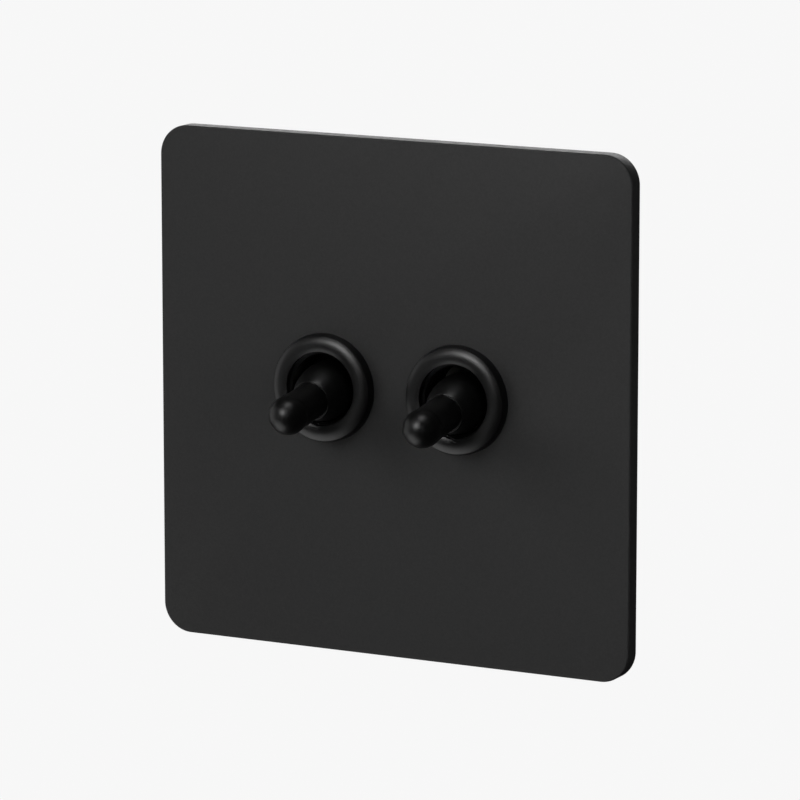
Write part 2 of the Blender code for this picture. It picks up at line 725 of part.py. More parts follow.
def housing(gang, side, axis):
    """A moulded case: a tube with a shelf across it that the terminals stand on."""
    body = slab(
        gang + "_housing", FLANGE_WIDTH, FLANGE_HEIGHT, HOUSING_FRONT, HOUSING_BACK, CASE_CORNER,
        parent=axis, finish="case_resin",
    )
    half_width = FLANGE_WIDTH / 2 - CASE_WALL
    half_height = FLANGE_HEIGHT / 2 - CASE_WALL
    chambers = (
        ("front_chamber", half_width, half_height, HOUSING_FRONT - OVERRUN, SHELF_FRONT),
        ("rear_chamber", half_width, half_height, SHELF_BACK, HOUSING_BACK + OVERRUN),
        ("window", WINDOW_HALF_WIDTH, WINDOW_HALF_HEIGHT, SHELF_FRONT - OVERRUN, SHELF_BACK + OVERRUN),
    )
    for label, x, z, front, back in chambers:
        cut(body, box(gang + "_" + label, (-x, front, -z), (x, back, z), axis))
    wall = FLANGE_WIDTH / 2
    end = FLANGE_HEIGHT / 2
    entries = (
        (
            "com_entry",
            (side * (half_width - OVERRUN), WIRE_DEPTH, 0),
            (side * (wall + OVERRUN), WIRE_DEPTH, 0),
        ),
        ("l1_entry", (0, WIRE_DEPTH, half_height - OVERRUN), (0, WIRE_DEPTH, end + OVERRUN)),
        ("l2_entry", (0, WIRE_DEPTH, -half_height + OVERRUN), (0, WIRE_DEPTH, -end - OVERRUN)),
    )
    for label, start, stop in entries:
        cut(body, cylinder(gang + "_" + label, WIRE_ENTRY_RADIUS, start, stop, COARSE, axis))
    margin = 0.0001
    for label, x, z in case_screw_places(gang):
        front = (x, HOUSING_FRONT + margin, z)
        back = (x, HOUSING_BACK - margin, z)
        join(body, cylinder(gang + "_post_" + label, POST_RADIUS, front, back, COARSE, axis))
        front = (x, HOUSING_FRONT - OVERRUN, z)
        back = (x, HOUSING_BACK + OVERRUN, z)
        cut(body, cylinder(gang + "_post_hole_" + label, CASE_SCREW_HOLE, front, back, COARSE, axis))


def rear_cover(gang, side, axis):
    """A cover with a short tube over each terminal, which guides the driver and holds the block."""
    cover = slab(
        gang + "_rear_cover", FLANGE_WIDTH, FLANGE_HEIGHT, COVER_FRONT, COVER_BACK, CASE_CORNER,
        parent=axis, finish="case_resin",
    )
    openings = (
        ("com", side * COM_SCREW_OFFSET, 0),
        ("l1", 0, LINE_SCREW_OFFSET),
        ("l2", 0, -LINE_SCREW_OFFSET),
    )
    for label, x, z in openings:
        tube = cylinder(
            gang + "_driver_tube_" + label, DRIVER_TUBE_RADIUS,
            (x, BLOCK_BACK + GAP, z), (x, COVER_FRONT + OVERRUN, z), MEDIUM, axis,
        )
        hole = cylinder(
            gang + "_driver_hole_" + label, DRIVER_HOLE_RADIUS,
            (x, BLOCK_BACK - OVERRUN, z), (x, COVER_BACK + OVERRUN, z), MEDIUM, axis,
        )
        join(cover, tube)
        cut(cover, hole)
    for label, x, z in case_screw_places(gang):
        ends = ((x, COVER_FRONT - OVERRUN, z), (x, COVER_BACK + OVERRUN, z))
        cut(cover, cylinder(gang + "_cover_hole_" + label, CASE_SCREW_HOLE, *ends, COARSE, axis))


def housing_screws(gang, axis):
    """Long screws from the rear cover, through the housing's posts, into the bushing's flange."""
    head_front = COVER_BACK + GAP
    profile = cheese_head(
        CASE_SCREW_HEAD_RADIUS, CASE_SCREW_HEAD_THICKNESS, CASE_SCREW_RADIUS, head_front - CASE_SCREW_TIP
    )
    for label, x, z in case_screw_places(gang):
        head_back = (x, head_front + CASE_SCREW_HEAD_THICKNESS, z)
        back_slotted_screw(gang + "_housing_screw_" + label, profile, axis, head_back)


def gang_switch(gang, side):
    """One complete tumbler switch."""
    axis = empty(gang + "_gang", (side * GANG_SPACING / 2, 0, GANG_HEIGHT))
    pivot = empty(gang + "_lever_pivot", (0, PIVOT_DEPTH, 0), (math.pi / 2 + LEVER_TILT, 0, 0), axis)
    rocker_axis = empty(gang + "_rocker_axis", (0, ROCKER_DEPTH, 0), (ROCKER_TILT, 0, 0), axis)
    collar(gang, axis)
    bushing(gang, axis)
    lever(gang, pivot)
    pivot_pin(gang, axis)
    spring(gang, pivot)
    plunger(gang, pivot)
    rocker(gang, rocker_axis)
    com_terminal(gang, side, axis)
    line_terminal(gang, "l1", 1, axis)
    line_terminal(gang, "l2", -1, axis)
    housing(gang, side, axis)
    rear_cover(gang, side, axis)
    housing_screws(gang, axis)


clear_scene()
PARTS = new_collection("toggle_wall_switch")
CUTTERS = new_collection("cutters")
front_plate()
mounting_frame()
fixing_screws()
earth_terminal()
for gang_name, gang_side in GANG_SIDES.items():
    gang_switch(gang_name, gang_side)
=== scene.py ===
"""The looks of the two-gang toggle wall switch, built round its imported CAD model.

Metres, +Z up, +Y into the wall. Every visible piece is remade finely in its node's own place.
"""
import json
import math

import bmesh
import bpy
from mathutils import Matrix, Vector

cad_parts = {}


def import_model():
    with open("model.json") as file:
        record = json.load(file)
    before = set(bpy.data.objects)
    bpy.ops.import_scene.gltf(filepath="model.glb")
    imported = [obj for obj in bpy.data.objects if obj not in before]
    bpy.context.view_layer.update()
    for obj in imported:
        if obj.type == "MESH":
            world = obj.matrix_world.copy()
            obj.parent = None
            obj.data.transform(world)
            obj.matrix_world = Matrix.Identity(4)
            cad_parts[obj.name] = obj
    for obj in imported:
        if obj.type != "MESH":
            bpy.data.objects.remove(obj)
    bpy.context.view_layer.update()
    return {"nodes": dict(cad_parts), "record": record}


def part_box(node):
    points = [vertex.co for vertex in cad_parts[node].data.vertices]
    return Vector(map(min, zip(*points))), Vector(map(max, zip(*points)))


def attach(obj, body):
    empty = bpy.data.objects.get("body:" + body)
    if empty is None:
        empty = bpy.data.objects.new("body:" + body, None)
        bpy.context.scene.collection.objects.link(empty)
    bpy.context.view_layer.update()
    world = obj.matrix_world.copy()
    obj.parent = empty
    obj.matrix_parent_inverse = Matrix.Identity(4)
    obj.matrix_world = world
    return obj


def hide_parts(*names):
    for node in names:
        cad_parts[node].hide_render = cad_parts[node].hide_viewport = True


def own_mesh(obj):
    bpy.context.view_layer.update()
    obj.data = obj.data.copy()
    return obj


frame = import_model()

MM = 0.001
OVERRUN = 0.5 * MM
ROUND = 160
SMALL_ROUND = 64

# Places, read from the frame.
JOINTS = {joint["name"]: joint for joint in frame["record"]["behaviour"]["joints"]}
PLATE_LOW, PLATE_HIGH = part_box("front_plate")
PLATE_FRONT = PLATE_LOW[1]
FRAME_LOW, FRAME_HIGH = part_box("mounting_frame")
GANGS = {"left": -1, "right": 1}

# Sizes that the nodes' boxes don't hold.
PLATE_CORNER = 5.0 * MM
PLATE_EDGE = 0.3 * MM
POCKET_GAP = 0.3 * MM
FRAME_CORNER = 3.0 * MM
NECK_RADIUS = 6.9 * MM
NECK_BORE = 5.7 * MM
NECK_HOLE = 7.2 * MM
COLLAR_HOLE = 6.15 * MM
COLLAR_HOLE_HEIGHT = 1.8 * MM
COLLAR_EDGE = 8.72 * MM
COLLAR_EDGE_HEIGHT = 1.5 * MM
COLLAR_RISE = 0.30 * MM
LEVER_TIP = 3.2 * MM
LEVER_TIP_CENTRE = 17.36 * MM
LEVER_STEM = 3.0 * MM
LEVER_MOUTH = 9.6 * MM
LEVER_MOUTH_RADIUS = 3.3 * MM
LEVER_DOME = 4.75 * MM
LEVER_DOME_CENTRE = 3.8 * MM
LEVER_DOME_BACK = -2.5 * MM
LEVER_TAIL = 2.2 * MM
LEVER_TAIL_END = -8.0 * MM
EDGE_BREAK = 0.15 * MM
PART_GAP = 0.3 * MM
SPRING_WIRE = 0.2 * MM
SPRING_COIL = 0.95 * MM
SPRING_FRONT = -2.0 * MM
SPRING_BACK = -5.5 * MM
SPRING_TURNS = 7
SPRING_END_SHARE = 0.045
CASE_WALL = 1.4 * MM
CASE_CORNER = 1.5 * MM
WIRE_ENTRY = 1.9 * MM
WIRE_ENTRY_DEPTH = 13.0 * MM
POST_HOLE = 1.3 * MM
SMALL_SCREW_SHAFT = 1.0 * MM
SMALL_SCREW_HEAD = 1.0 * MM
TERMINAL_SCREW_SHAFT = 1.35 * MM
TERMINAL_SCREW_HEAD = 1.1 * MM
FIXING_SCREW_SHAFT = 1.75 * MM

# The studio and its camera.
ROOM = 1.4
FLOOR_DROP = 0.6
FLOOR_GLOW = 0.928
WORLD_GLOW = 0.012
CAMERA_AZIMUTH = 27.2
CAMERA_ELEVATION = 10.75
CAMERA_DISTANCE = 0.8325
CAMERA_LENS = 229.5
CAMERA_TARGET = (1.66 * MM, PLATE_FRONT, 0.27 * MM)


# ---------------------------------------------------------------- shapes

def mesh_piece(name, shape, place=None):
    """A new object from a bmesh, with its place baked into its mesh."""
    if place is not None:
        bmesh.ops.transform(shape, matrix=place, verts=shape.verts)
    bmesh.ops.recalc_face_normals(shape, faces=shape.faces)
    mesh = bpy.data.meshes.new(name)
    shape.to_mesh(mesh)
    shape.free()
    piece = bpy.data.objects.new(name, mesh)
    bpy.context.scene.collection.objects.link(piece)
    return piece


def facing(x, y, z, tilt=0.0):
    """The place of a turned piece whose own +Z points to the front, tipped down by tilt."""
    return Matrix.Translation((x, y, z)) @ Matrix.Rotation(math.pi / 2 + tilt, 4, "X")


def facing_back(x, y, z):
    return Matrix.Translation((x, y, z)) @ Matrix.Rotation(-math.pi / 2, 4, "X")


def filleted(corners, steps=5):
    """A profile from (radius, distance, fillet) corners, each rounded by its own fillet."""
    points = []
    for index, (radius, distance, fillet) in enumerate(corners):
        here = Vector((radius, distance))
        if not fillet or index in (0, len(corners) - 1):
            points.append((radius, distance))
            continue
        before = (Vector(corners[index - 1][:2]) - here).normalized()
        after = (Vector(corners[index + 1][:2]) - here).normalized()
        half = before.angle(after) / 2
        reach = fillet / math.tan(half)
        centre = here + (before + after).normalized() * (fillet / math.sin(half))
        start = here + before * reach - centre
        turn = start.angle_signed(here + after * reach - centre)
        for step in range(steps + 1):
            angle = -turn * step / steps
            spoke = Matrix.Rotation(angle, 2) @ start
            points.append(tuple(centre + spoke))
    return points


def lathe(name, profile, steps=ROUND, place=None, closed=False, thread=None):
    """A turned piece from (radius, distance) points. thread is (top, bottom, depth, pitch)."""
    shape = bmesh.new()
    rings = []
    for radius, distance in profile:
        if radius < 1e-9:
            rings.append([shape.verts.new((0, 0, distance))])
            continue
        ring = []
        for step in range(steps):
            angle = 2 * math.pi * step / steps
            here = radius
            if thread and thread[1] <= distance <= thread[0]:
                turns = ((thread[0] - distance) / thread[3] + step / steps) % 1.0
                ends = min(thread[0] - distance, distance - thread[1]) / thread[3]
                here -= thread[2] * (1 - abs(2 * turns - 1)) * min(1.0, ends)
            ring.append(shape.verts.new((here * math.cos(angle), here * math.sin(angle), distance)))
        rings.append(ring)
    pairs = list(zip(rings, rings[1:]))
    if closed:
        pairs.append((rings[-1], rings[0]))
    for upper, lower in pairs:
        for step in range(steps):
            following = (step + 1) % steps
            corners = [upper[step % len(upper)], upper[following % len(upper)]]
            corners += [lower[following % len(lower)], lower[step % len(lower)]]
            shape.faces.new(list(dict.fromkeys(corners)))
    return mesh_piece(name, shape, place)


def bar(name, radius, start, end, steps=SMALL_ROUND, flare=0.0):
    """A round bar between two points. flare widens its two ends, to chamfer a hole that it cuts."""
    start, end = Vector(start), Vector(end)
    length = (end - start).length
    place = Matrix.Translation(start) @ (end - start).to_track_quat("Z", "Y").to_matrix().to_4x4()
    profile = [(0, length), (radius, length), (radius, 0), (0, 0)]
    if flare:
        profile = [
            (0, length), (radius + flare + OVERRUN, length), (radius, length - OVERRUN - flare),
            (radius, OVERRUN + flare), (radius + flare + OVERRUN, 0), (0, 0),
        ]
    return lathe(name, profile, steps, place)


def box_shape(low, high):
    shape = bmesh.new()
    bmesh.ops.create_cube(shape, size=1.0)
    for vertex in shape.verts:
        for axis in range(3):
            vertex.co[axis] = low[axis] if vertex.co[axis] < 0 else high[axis]
    return shape


def block(name, low, high, edge=0.0):
    shape = box_shape(low, high)
    if edge:
        bmesh.ops.bevel(
            shape, geom=list(shape.edges), offset=edge, segments=3, profile=0.5, affect="EDGES"
        )
    return mesh_piece(name, shape)


def slab(name, low, high, corner, front_edge=0.0, back_edge=0.0, corner_steps=20):
    """A plate facing front, with round corners and a rolled edge round its front or back face."""
    shape = box_shape(low, high)
    upright = [e for e in shape.edges if abs(e.verts[0].co.y - e.verts[1].co.y) > 1e-9]
    bmesh.ops.bevel(
        shape, geom=upright, offset=corner, segments=corner_steps, profile=0.5, affect="EDGES"
    )
    for edge, y in ((front_edge, low[1]), (back_edge, high[1])):
        if edge:
            rim = [e for e in shape.edges if all(abs(v.co.y - y) < 1e-7 for v in e.verts)]
            bmesh.ops.bevel(shape, geom=rim, offset=edge, segments=4, profile=0.5, affect="EDGES")
    return mesh_piece(name, shape)


def combine(target, operation, tools):
    """Cut the tools from the target, or join them to it, and use them up."""
    for tool in tools:
        modifier = target.modifiers.new(tool.name, "BOOLEAN")
        modifier.operation = operation
        modifier.solver = "EXACT"
        modifier.object = tool
        graph = bpy.context.evaluated_depsgraph_get()
        mesh = bpy.data.meshes.new_from_object(target.evaluated_get(graph))
        target.modifiers.clear()
        old = target.data
        target.data = mesh
        bpy.data.meshes.remove(old)
        bpy.data.objects.remove(tool)
    target.data.name = target.name


def cut(target, *tools):
    combine(target, "DIFFERENCE", tools)


def join(target, *tools):
    combine(target, "UNION", tools)


def finish(piece, node, material):
    """Shade a piece, give it its finish, and let it stand for its CAD node."""
    piece.data.materials.clear()
    piece.data.materials.append(material)
    piece.data.shade_smooth()
    piece.data.set_sharp_from_angle(angle=math.radians(35))
    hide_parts(node)
    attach(piece, BODY_OF[node])


BODY_OF = {
    node: body for body, nodes in frame["record"]["behaviour"]["bodies"].items() for node in nodes
}
SLOT_OF = {part["node"]: part["material_slot"] for part in frame["record"]["subparts"]}


# ---------------------------------------------------------------- finishes

class Finish:
    """A Principled material under construction, with short helpers for its nodes."""

    def __init__(self, name, **inputs):
        self.material = bpy.data.materials.new(name)
        self.material.use_nodes = True
        self.tree = self.material.node_tree
        self.shader = self.tree.nodes["Principled BSDF"]
        self.place = self.add("ShaderNodeTexCoord")
        for key, value in inputs.items():
            self.shader.inputs[key.replace("_", " ")].default_value = value

    def add(self, kind, **settings):
        node = self.tree.nodes.new(kind)
        for key, value in settings.items():
            setattr(node, key, value)
        return node

    def wire(self, source, target):
        self.tree.links.new(source, target)

    def noise(self, scale, detail=4.0, roughness=0.55, stretch=None):
        """A noise texture in object space; scale is in features per metre."""
        node = self.add("ShaderNodeTexNoise")
        node.inputs["Scale"].default_value = scale
        node.inputs["Detail"].default_value = detail
        node.inputs["Roughness"].default_value = roughness
        source = self.place.outputs["Object"]
        if stretch:
            mapping = self.add("ShaderNodeMapping")
            mapping.inputs["Scale"].default_value = stretch
            self.wire(source, mapping.inputs["Vector"])
            source = mapping.outputs["Vector"]
        self.wire(source, node.inputs["Vector"])
        return node.outputs["Fac"]

    def spread(self, source, low, high, from_low=0.3, from_high=0.7):
        node = self.add("ShaderNodeMapRange")
        node.inputs["From Min"].default_value = from_low
        node.inputs["From Max"].default_value = from_high
        node.inputs["To Min"].default_value = low
        node.inputs["To Max"].default_value = high
        self.wire(source, node.inputs["Value"])
        return node.outputs["Result"]

    def colour_between(self, source, low, high):
        node = self.add("ShaderNodeMix", data_type="RGBA")
        self.wire(source, node.inputs["Factor"])
        node.inputs[6].default_value = (*low, 1.0)
        node.inputs[7].default_value = (*high, 1.0)
        return node.outputs[2]

    def worn_edges(self, radius, low, high):
        """High where the surface turns sharply, within the given radius of an edge."""
        rounded = self.add("ShaderNodeBevel", samples=6)
        rounded.inputs["Radius"].default_value = radius
        geometry = self.add("ShaderNodeNewGeometry")
        dot = self.add("ShaderNodeVectorMath", operation="DOT_PRODUCT")
        self.wire(rounded.outputs["Normal"], dot.inputs[0])
        self.wire(geometry.outputs["Normal"], dot.inputs[1])
        return self.spread(dot.outputs["Value"], high, low, 0.80, 0.99)

    def bump(self, source, depth, after=None):
        node = self.add("ShaderNodeBump")
        node.inputs["Strength"].default_value = 1.0
        node.inputs["Distance"].default_value = depth
        self.wire(source, node.inputs["Height"])
        if after is not None:
            self.wire(after, node.inputs["Normal"])
        return node.outputs["Normal"]

    def set(self, name, source):
        self.wire(source, self.shader.inputs[name])


def powder_coat():
    """Matt black powder coat: a fine even grain with a faint orange peel under it."""
    look = Finish("powder_coat", IOR=1.5, Specular_IOR_Level=0.22)
    tone = look.noise(2600, 3.0, 0.6)
    look.set("Base Color", look.colour_between(look.spread(tone, 0, 1), (0.0170,) * 3, (0.0220,) * 3))
    look.set("Roughness", look.spread(look.noise(900, 3.0), 0.50, 0.60))
    peel = look.bump(look.noise(700, 2.0), 0.012 * MM)
    look.set("Normal", look.bump(look.noise(3200, 2.0, 0.7), 0.010 * MM, peel))
    return look.material


def satin_black(name, roughness, level):
    """Smooth satin black lacquer on turned metal, with a faint sign of handling."""
    look = Finish(name, IOR=1.5, Specular_IOR_Level=level)
    look.set("Base Color", look.colour_between(
        look.spread(look.noise(500), 0, 1), (0.0006, 0.0006, 0.0006), (0.0010, 0.0010, 0.0011)
    ))
    look.set("Roughness", look.spread(look.noise(900, 4.0), roughness - 0.015, roughness + 0.02))
    look.set("Normal", look.bump(look.noise(2200, 2.0), 0.0007 * MM))
    return look.material


def zinc_plate(name, grain):
    """Bright zinc on steel: a drawn grain, blotchy passivation and paler worn edges."""
    look = Finish(name, Metallic=1.0)
    blotch = look.noise(220, 5.0, 0.6)
    plain = look.colour_between(look.spread(blotch, 0, 1), (0.42, 0.43, 0.42), (0.58, 0.58, 0.55))
    wear = look.add("ShaderNodeMix", data_type="RGBA")
    look.wire(look.worn_edges(0.25 * MM, 0.0, 1.0), wear.inputs["Factor"])
    look.wire(plain, wear.inputs[6])
    wear.inputs[7].default_value = (0.72, 0.72, 0.70, 1.0)
    look.set("Base Color", wear.outputs[2])
    drawn = look.noise(3200, 3.0, 0.6, grain)
    look.set("Roughness", look.spread(drawn, 0.26, 0.44))
    look.set("Normal", look.bump(drawn, 0.004 * MM))
    return look.material


def brass_like(name, low, high):
    """Machined copper alloy with fine tool marks and a slight tarnish."""
    look = Finish(name, Metallic=1.0)
    look.set("Base Color", look.colour_between(look.spread(look.noise(400, 5.0), 0, 1), low, high))
    marks = look.noise(900, 2.0, 0.5, (1.0, 9.0, 1.0))
    look.set("Roughness", look.spread(marks, 0.24, 0.42))
    look.set("Normal", look.bump(marks, 0.004 * MM))
    return look.material


def moulded_resin():
    """Thermoset case resin, off-white, with a dull skin, flow clouds and rubbed edges."""
    look = Finish("moulded_resin", IOR=1.5)
    cloud = look.spread(look.noise(160, 5.0, 0.6), 0, 1)
    plain = look.colour_between(cloud, (0.56, 0.54, 0.49), (0.66, 0.64, 0.59))
    wear = look.add("ShaderNodeMix", data_type="RGBA")
    look.wire(look.worn_edges(0.3 * MM, 0.0, 0.7), wear.inputs["Factor"])
    look.wire(plain, wear.inputs[6])
    wear.inputs[7].default_value = (0.76, 0.75, 0.70, 1.0)
    look.set("Base Color", wear.outputs[2])
    look.set("Roughness", look.spread(look.noise(700, 4.0), 0.38, 0.55))
    look.set("Normal", look.bump(look.noise(1800, 3.0), 0.010 * MM))
    return look.material


POWDER = powder_coat()
COLLAR_BLACK = satin_black("collar_lacquer", 0.38, 0.45)
LEVER_BLACK = satin_black("lever_lacquer", 0.39, 0.38)
BUSHING_BLACK = satin_black("bushing_black", 0.42, 0.60)
FRAME_ZINC = zinc_plate("frame_zinc", (1.0, 1.0, 0.06))
SCREW_ZINC = zinc_plate("screw_zinc", (1.0, 0.3, 1.0))
SPRING_STEEL = zinc_plate("spring_wire", (1.0, 1.0, 1.0))
BRASS = brass_like("terminal_brass", (0.60, 0.42, 0.17), (0.76, 0.57, 0.28))
COPPER = brass_like("contact_copper", (0.60, 0.34, 0.20), (0.76, 0.47, 0.31))
RESIN = moulded_resin()
FINISHES = {
    "plate_black": POWDER, "collar_black": COLLAR_BLACK, "lever_black": LEVER_BLACK,
    "bushing_black": BUSHING_BLACK, "frame_steel": FRAME_ZINC, "screw_steel": SCREW_ZINC,
    "spring_steel": SPRING_STEEL, "brass": BRASS, "contact_copper": COPPER, "case_plastic": RESIN,
}


# ---------------------------------------------------------------- the pieces

def middle(node, axis):
    low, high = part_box(node)
    return (low[axis] + high[axis]) / 2


def centre_line(node):
    """X and Z of the middle of a node that lies along Y."""
    return middle(node, 0), middle(node, 2)


def gang_axis(gang):
    """X and Z of a gang's own axis, through its lever's pivot."""
    pivot = JOINTS[gang + "_lever_tilt"]["pos_m"]
    return pivot[0], pivot[2]


def lever_tilt(gang):
    """How far the lever hangs below level, from the line that its plunger slides on."""
    axis = JOINTS[gang + "_plunger_slide"]["axis"]
    return math.atan2(-axis[2], -axis[1])


def neck_holes(front, back):
    tools = []
    for gang in GANGS:
        x, z = gang_axis(gang)
        tools.append(bar("hole", NECK_HOLE, (x, front, z), (x, back, z), ROUND))
    return tools


def front_plate():
    plate = slab("switch_plate", PLATE_LOW, PLATE_HIGH, PLATE_CORNER, PLATE_EDGE, EDGE_BREAK, 28)
    pocket = slab(
        "pocket",
        (FRAME_LOW[0] - POCKET_GAP, FRAME_LOW[1] - POCKET_GAP, FRAME_LOW[2] - POCKET_GAP),
        (FRAME_HIGH[0] + POCKET_GAP, OVERRUN, FRAME_HIGH[2] + POCKET_GAP),
        FRAME_CORNER,
    )
    cut(plate, pocket, *neck_holes(PLATE_FRONT - OVERRUN, OVERRUN))
    finish(plate, "front_plate", POWDER)


def arc(start, end, rise, steps):
    """Points on the circle through start and end that bulges by rise to the left of the line."""
    start, end = Vector(start), Vector(end)
    chord = (end - start).length
    radius = (chord * chord / 4 + rise * rise) / (2 * rise)
    along = (end - start) / chord
    left = Vector((-along.y, along.x))
    centre = (start + end) / 2 + left * (rise - radius)
    half = math.asin(chord / (2 * radius))
    angles = [half * (2 * step / steps - 1) for step in range(steps + 1)]
    return [tuple(centre + (along * math.sin(a) + left * math.cos(a)) * radius) for a in angles]


def collar(gang):
    """A domed ring: rolled inner lip, crowned face, crisp outer crease and a raked side."""
    x, z = gang_axis(gang)
    base = (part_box(gang + "_collar")[1][0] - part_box(gang + "_collar")[0][0]) / 2
    lip = arc(
        (COLLAR_HOLE, COLLAR_HOLE_HEIGHT - 0.12 * MM),
        (COLLAR_HOLE + 0.10 * MM, COLLAR_HOLE_HEIGHT + 0.03 * MM), 0.04 * MM, 6,
    )
    dome = arc(lip[-1], (COLLAR_EDGE, COLLAR_EDGE_HEIGHT), COLLAR_RISE, 32)
    crease = arc(dome[-1], (COLLAR_EDGE + 0.05 * MM, COLLAR_EDGE_HEIGHT - 0.12 * MM), 0.02 * MM, 4)
    side = arc(crease[-1], (base, 0.0), 0.05 * MM, 10)
    inside = [
        (NECK_RADIUS + 0.25 * MM, 0.0), (NECK_RADIUS + 0.25 * MM, 1.2 * MM), (COLLAR_HOLE, 1.2 * MM)
    ]
    profile = dome + crease[1:] + side[1:] + inside + lip[:-1]
    ring = lathe(gang + "_collar_ring", profile, ROUND, facing(x, PLATE_FRONT, z), closed=True)
    finish(ring, gang + "_collar", COLLAR_BLACK)


def bushing(gang):
    x, z = gang_axis(gang)
    node = gang + "_bushing"
    low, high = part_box(node)
    flange_front = FRAME_HIGH[1] + PART_GAP
    body = slab(
        gang + "_switch_bushing", (low[0], flange_front, low[2]), high, CASE_CORNER, EDGE_BREAK, EDGE_BREAK
    )
    rim = 0.12 * MM
    neck = lathe("neck", filleted([
        (0, -low[1], 0), (NECK_RADIUS, -low[1], rim), (NECK_RADIUS, -flange_front - OVERRUN, 0),
        (0, -flange_front - OVERRUN, 0),
    ]), ROUND, facing(x, 0, z))
    bore = bar(
        "bore", NECK_BORE, (x, low[1] - OVERRUN, z), (x, high[1] + OVERRUN, z), ROUND, 0.3 * MM
    )
    depth = JOINTS[gang + "_lever_tilt"]["pos_m"][1]
    pin_hole = bar(
        "pin_hole", 0.95 * MM, (low[0] - OVERRUN, depth, z), (high[0] + OVERRUN, depth, z)
    )
    join(body, neck)
    cut(body, bore, pin_hole)
    for end in ("upper", "lower"):
        px, pz = centre_line(gang + "_housing_screw_" + end)
        cut(body, bar("pilot", POST_HOLE, (px, 1.0 * MM, pz), (px, high[1] + OVERRUN, pz)))
    finish(body, node, BUSHING_BLACK)


def lever_profile():
    """The lever from its ball tip, down its stem and domed root, to the end of its tail."""
    stem_top = LEVER_STEM + 0.06 * MM
    equator = -math.acos(stem_top / LEVER_TIP)
    points = []
    steps = 36
    for step in range(steps + 1):
        angle = math.pi / 2 + (equator - math.pi / 2) * step / steps
        points.append((LEVER_TIP * math.cos(angle), LEVER_TIP_CENTRE + LEVER_TIP * math.sin(angle)))
    points[0] = (0, points[0][1])
    neck = points[-1]
    root = (LEVER_STEM, LEVER_MOUTH + 0.35 * MM)
    for step in range(1, 12):
        share = step / 12
        ease = share * share * (3 - 2 * share)
        points.append((neck[0] + (root[0] - neck[0]) * ease, neck[1] + (root[1] - neck[1]) * share))
    points += filleted([
        (root[0], root[1], 0), (LEVER_STEM, LEVER_MOUTH - 0.12 * MM, 0.06 * MM),
        (LEVER_MOUTH_RADIUS - 0.16 * MM, LEVER_MOUTH - 0.12 * MM, 0.06 * MM),
        (LEVER_MOUTH_RADIUS - 0.10 * MM, LEVER_MOUTH, 0),
    ], 4)
    points += arc(points[-1], (LEVER_MOUTH_RADIUS + 0.02 * MM, LEVER_MOUTH - 0.05 * MM), 0.02 * MM, 4)[1:]
    start = points[-1][1]
    shrink = LEVER_MOUTH_RADIUS / LEVER_DOME
    half_length = (LEVER_MOUTH - LEVER_DOME_CENTRE) / math.sqrt(1 - shrink ** 2)
    steps = 48
    for step in range(1, steps + 1):
        distance = start + (LEVER_DOME_BACK - start) * step / steps
        offset = (distance - LEVER_DOME_CENTRE) / half_length
        points.append((LEVER_DOME * math.sqrt(1 - offset ** 2), distance))
    points += filleted([
        (LEVER_TAIL, LEVER_DOME_BACK, 0), (LEVER_TAIL, LEVER_TAIL_END, 0.3 * MM), (0, LEVER_TAIL_END, 0)
    ])
    return points


def lever(gang):
    x, z = gang_axis(gang)
    depth = JOINTS[gang + "_lever_tilt"]["pos_m"][1]
    place = facing(x, depth, z, lever_tilt(gang))
    body = lathe(gang + "_toggle_lever", lever_profile(), ROUND, place)
    bore = bar(
        "bore", 1.45 * MM,
        place @ Vector((0, 0, LEVER_TAIL_END - OVERRUN)), place @ Vector((0, 0, -1.5 * MM)),
    )
    reach = LEVER_DOME + OVERRUN
    pin_hole = bar("pin_hole", 1.05 * MM, (x - reach, depth, z), (x + reach, depth, z))
    cut(body, bore, pin_hole)
    finish(body, gang + "_lever", LEVER_BLACK)


def spring_rings(shape):
    """The wire's cross sections, from the front end to the back."""
    per_turn, around = 28, 10
    count = SPRING_TURNS * per_turn
    length = SPRING_BACK - SPRING_FRONT
    ends = 1 / SPRING_TURNS
    rings = []
    for index in range(count + 1):
        share = index / count
        angle = 2 * math.pi * SPRING_TURNS * share
        travel = min(max((share - ends) / (1 - 2 * ends), 0.0), 1.0)
        closed = min(share / ends, 1) - min((1 - share) / ends, 1)
        distance = SPRING_FRONT + length * travel + length * SPRING_END_SHARE * closed
        outward = Vector((math.cos(angle), math.sin(angle), 0))
        centre = outward * SPRING_COIL + Vector((0, 0, distance))
        ring = []
        for side in range(around):
            a = 2 * math.pi * side / around
            along = Vector((0, 0, SPRING_WIRE * math.sin(a)))
            ring.append(shape.verts.new(centre + outward * SPRING_WIRE * math.cos(a) + along))
        rings.append(ring)
    return rings


def spring(gang):
    """The plunger's round-wire spring, built as one fixed coil."""
    x, z = gang_axis(gang)
    depth = JOINTS[gang + "_lever_tilt"]["pos_m"][1]
    place = facing(x, depth, z, lever_tilt(gang))
    shape = bmesh.new()
    rings = spring_rings(shape)
    for upper, lower in zip(rings, rings[1:]):
        for side in range(len(upper)):
            after = (side + 1) % len(upper)
            shape.faces.new((upper[side], upper[after], lower[after], lower[side]))
    shape.faces.new(rings[0])
    shape.faces.new(list(reversed(rings[-1])))
    piece = mesh_piece(gang + "_plunger_spring", shape, place)
    finish(piece, gang + "_spring", SPRING_STEEL)
    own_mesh(piece)


